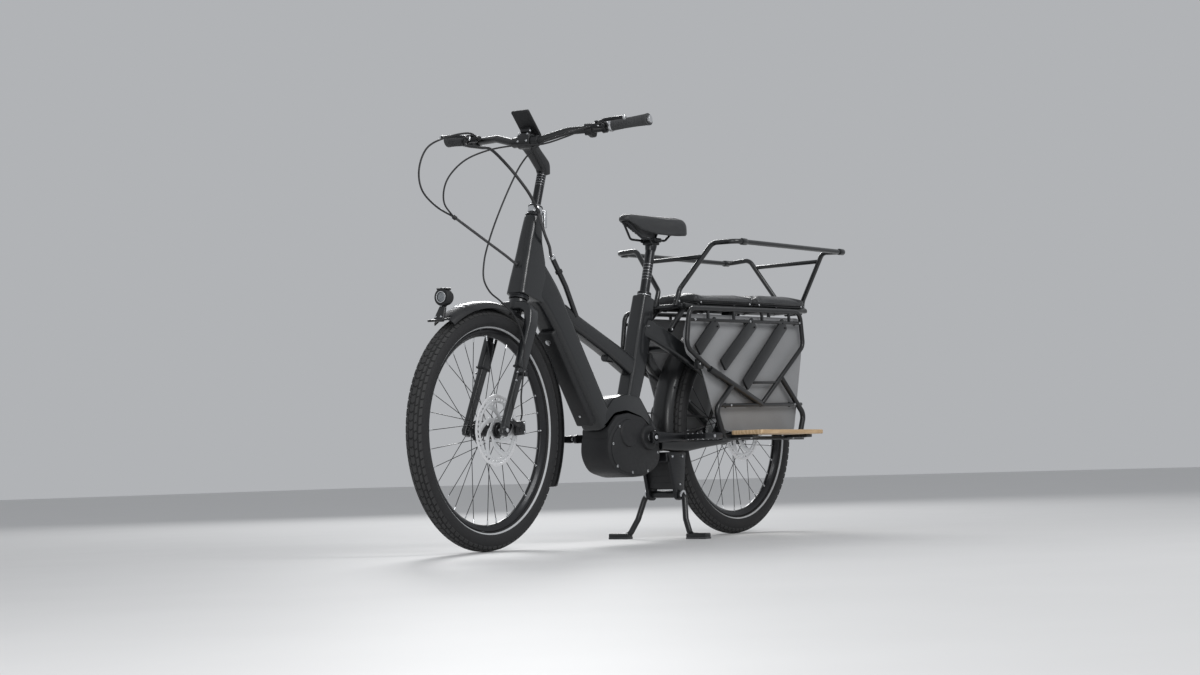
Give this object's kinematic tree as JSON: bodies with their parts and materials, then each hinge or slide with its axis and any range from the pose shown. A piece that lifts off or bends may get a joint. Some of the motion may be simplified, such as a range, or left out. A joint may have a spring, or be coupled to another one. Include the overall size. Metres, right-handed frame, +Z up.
{
  "type": "longtail cargo bike",
  "caption": "Longtail electric cargo bike with box down tube, low rack with pads and safety rails, side frames with wood footboards and a two-leg stand.",
  "frame": {"origin": "on the ground under the middle of the bike's box", "axes": "+X forward, +Y to the rider's left, +Z up; the front wheel is turned 4.4 degrees left at rest"},
  "size_m": [2.0404, 0.7376, 1.2912],
  "materials": {
    "frame_paint": "gloss",
    "black_metal": "satin",
    "black_alloy": "black anodised satin",
    "black_plastic": "matte",
    "grey_panel": "matte",
    "rubber": "matte",
    "tyre": "matte",
    "steel": "brushed",
    "wood": "oiled",
    "vinyl": "satin",
    "red_lens": "gloss",
    "screen": "gloss"
  },
  "bodies": {
    "bike": {"main_frame": "frame_paint", "battery": "black_plastic", "headset_upper": "black_alloy", "headset_lower": "black_alloy", "seat_collar": "black_alloy", "motor_unit": "black_plastic", "drive_belt": "rubber", "rear_caliper": "black_alloy", "kickstand_bracket": "black_alloy", "rear_mudguard": "black_plastic", "rear_light": "red_lens", "rack_deck": "black_metal", "safety_rails": "black_metal", "side_frame_left": "black_metal", "side_frame_right": "black_metal", "skirt_left": "grey_panel", "skirt_right": "grey_panel", "footboard_left": "wood", "footboard_right": "wood", "seat_pad_front": "vinyl", "seat_pad_rear": "vinyl", "control_loom": "rubber", "cable_bundle": "rubber"},
    "steering": {"fork": "frame_paint", "front_mudguard": "black_plastic", "front_caliper": "black_alloy", "stem_collar": "black_alloy", "front_brake_hose": "rubber"},
    "lamp": {"front_light": "black_plastic"},
    "collar_lever": {"stem_collar_lever": "black_alloy"},
    "stem": {"stem": "black_alloy", "handlebar": "black_alloy", "grip_left": "rubber", "grip_right": "rubber", "brake_body_left": "black_alloy", "brake_body_right": "black_alloy", "control_remote": "black_plastic"},
    "brake_lever_left": {"brake_lever_left": "black_alloy"},
    "brake_lever_right": {"brake_lever_right": "black_alloy"},
    "remote_rocker": {"remote_rocker": "black_plastic"},
    "twist_shifter": {"twist_shifter": "black_plastic"},
    "display": {"display": "screen"},
    "front_wheel": {"front_tyre": "tyre", "front_rim": "black_alloy", "front_hub_and_spokes": "black_alloy", "front_rotor": "steel"},
    "rear_wheel": {"rear_tyre": "tyre", "rear_rim": "black_alloy", "rear_hub_and_spokes": "black_alloy", "rear_rotor": "steel"},
    "cranks": {"crank_left": "black_alloy", "crank_right": "black_alloy", "belt_ring": "black_alloy"},
    "pedal_left": {"pedal_left": "black_alloy"},
    "pedal_right": {"pedal_right": "black_alloy"},
    "rear_sprocket": {"rear_sprocket": "steel"},
    "kickstand": {"kickstand": "black_metal"},
    "seat": {"seatpost": "black_alloy", "saddle_rails": "steel", "saddle": "vinyl"}
  },
  "joints": [
    {"name": "steering", "type": "hinge", "parent": "bike", "child": "steering", "pos_m": [0.43682, -0.00133, 0.96], "axis": [-0.309, 0, 0.9511], "range_deg": [-54.4, 45.6], "deforming": ["control_loom", "cable_bundle"]},
    {"name": "lamp_tilt", "type": "hinge", "parent": "steering", "child": "lamp", "pos_m": [0.86249, 0.02384, 0.70822], "axis": [-0.073, 0.9971, -0.0237], "range_deg": [-8, 2]},
    {"name": "collar_lever_turn", "type": "hinge", "parent": "steering", "child": "collar_lever", "pos_m": [0.40056, 0.01164, 0.98397], "axis": [-0.073, 0.9971, -0.0237], "range_deg": [0, 100]},
    {"name": "stem_height", "type": "slide", "parent": "steering", "child": "stem", "axis": [-0.309, 0, 0.9511], "range_m": [-0.06, 0.04], "deforming": ["control_loom", "cable_bundle", "front_brake_hose"]},
    {"name": "display_tilt", "type": "hinge", "parent": "stem", "child": "display", "pos_m": [0.47127, 0.00741, 1.22121], "axis": [-0.073, 0.9971, -0.0237], "range_deg": [-5, 25]},
    {"name": "left_brake_pull", "type": "hinge", "parent": "stem", "child": "brake_lever_left", "pos_m": [0.41918, 0.2357, 1.21801], "axis": [-0.309, 0, 0.9511], "range_deg": [0, 20], "stiffness_Nm_per_rad": 1.5},
    {"name": "right_brake_pull", "type": "hinge", "parent": "stem", "child": "brake_lever_right", "pos_m": [0.45297, -0.22593, 1.22899], "axis": [0.309, 0, -0.9511], "range_deg": [0, 20], "stiffness_Nm_per_rad": 1.5},
    {"name": "remote_rocker_press", "type": "hinge", "parent": "stem", "child": "remote_rocker", "pos_m": [0.37127, 0.19179, 1.22692], "axis": [-0.073, 0.9971, -0.0237], "range_deg": [-5, 5], "stiffness_Nm_per_rad": 0.05},
    {"name": "shifter_turn", "type": "hinge", "parent": "stem", "child": "twist_shifter", "pos_m": [0.41236, -0.25747, 1.22964], "axis": [-0.0904, -0.9857, 0.1423], "range_deg": [-60, 60]},
    {"name": "front_wheel_spin", "type": "hinge", "parent": "steering", "child": "front_wheel", "pos_m": [0.6807, 0.00182, 0.34166], "axis": [-0.073, 0.9971, -0.0237], "continuous": true},
    {"name": "rear_wheel_spin", "type": "hinge", "parent": "bike", "child": "rear_wheel", "pos_m": [-0.58418, -0.00133, 0.3415], "axis": [0, 1, 0], "continuous": true},
    {"name": "crank_spin", "type": "hinge", "parent": "bike", "child": "cranks", "pos_m": [-0.03018, -0.00133, 0.318], "axis": [0, 1, 0], "continuous": true},
    {"name": "left_pedal_spin", "type": "hinge", "parent": "cranks", "child": "pedal_left", "pos_m": [-0.20018, 0.14667, 0.318], "axis": [0, 1, 0], "continuous": true},
    {"name": "right_pedal_spin", "type": "hinge", "parent": "cranks", "child": "pedal_right", "pos_m": [0.13982, -0.14933, 0.318], "axis": [0, 1, 0], "continuous": true},
    {"name": "rear_sprocket_spin", "type": "hinge", "parent": "bike", "child": "rear_sprocket", "pos_m": [-0.58418, -0.06933, 0.3415], "axis": [0, 1, 0], "continuous": true},
    {"name": "kickstand_fold", "type": "hinge", "parent": "bike", "child": "kickstand", "pos_m": [-0.19418, -0.00133, 0.139], "axis": [0, 1, 0], "range_deg": [0, 100]},
    {"name": "seat_height", "type": "slide", "parent": "bike", "child": "seat", "axis": [-0.2756, 0, 0.9613], "range_m": [-0.05, 0.1]}
  ],
  "couplings": [
    {"joint": "rear_sprocket_spin", "follows": "crank_spin", "ratio": 2.0714}
  ]
}
